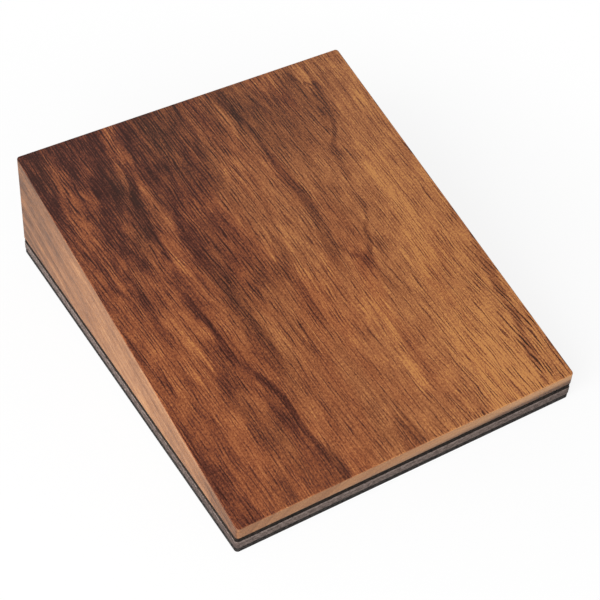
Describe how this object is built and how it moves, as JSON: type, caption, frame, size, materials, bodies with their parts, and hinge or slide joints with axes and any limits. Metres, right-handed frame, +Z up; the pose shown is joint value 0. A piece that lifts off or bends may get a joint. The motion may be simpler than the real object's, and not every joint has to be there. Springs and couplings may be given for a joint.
{
  "type": "foot stomp box",
  "caption": "Wedge-shaped wooden foot stomp box on a soft layered base, with a piezo pickup under its sloping foot plate and a recessed jack socket in its tall rear face.",
  "frame": {"origin": "middle of the grip mat's underside, on the floor", "axes": "+X to the right across the width, +Y from the low front edge to the tall rear face, +Z up"},
  "size_m": [0.172, 0.2, 0.0584],
  "materials": {
    "walnut": "satin oil",
    "black_rubber": "matt",
    "fibre_board": "sawn edge",
    "tape": "double-sided foam tape",
    "disc_brass": "rolled",
    "disc_ceramic": "silvered ceramic",
    "foam": "open-cell foam",
    "solder": "bright solder",
    "signal_insulation": "satin",
    "ground_insulation": "satin",
    "nickel": "nickel plate",
    "phenolic": "laminated paper"
  },
  "bodies": {
    "box": {"wedge_body": "walnut", "damping_sheet": "black_rubber", "base_board": "fibre_board", "grip_mat": "black_rubber", "pickup_tape": "tape", "pickup_brass_disc": "disc_brass", "pickup_ceramic_disc": "disc_ceramic", "pickup_foam_pad": "foam", "solder_pickup_signal": "solder", "solder_pickup_ground": "solder", "solder_jack_tip": "solder", "solder_jack_sleeve": "solder", "lead_signal": "signal_insulation", "lead_ground": "ground_insulation", "jack_bushing": "nickel", "jack_lock_washer": "nickel", "jack_flat_washer": "nickel", "jack_hex_nut": "nickel", "jack_sleeve_terminal": "nickel", "jack_front_insulator": "phenolic", "jack_tip_terminal": "nickel", "jack_rear_insulator": "phenolic"},
    "tip_contact": {"jack_tip_spring": "nickel"}
  },
  "joints": [
    {"name": "tip_contact_flex", "type": "hinge", "parent": "box", "child": "tip_contact", "pos_m": [0, 0.083, 0.0367], "axis": [-1, 0, 0], "range_deg": [0, 4], "stiffness_Nm_per_rad": 1.2}
  ]
}
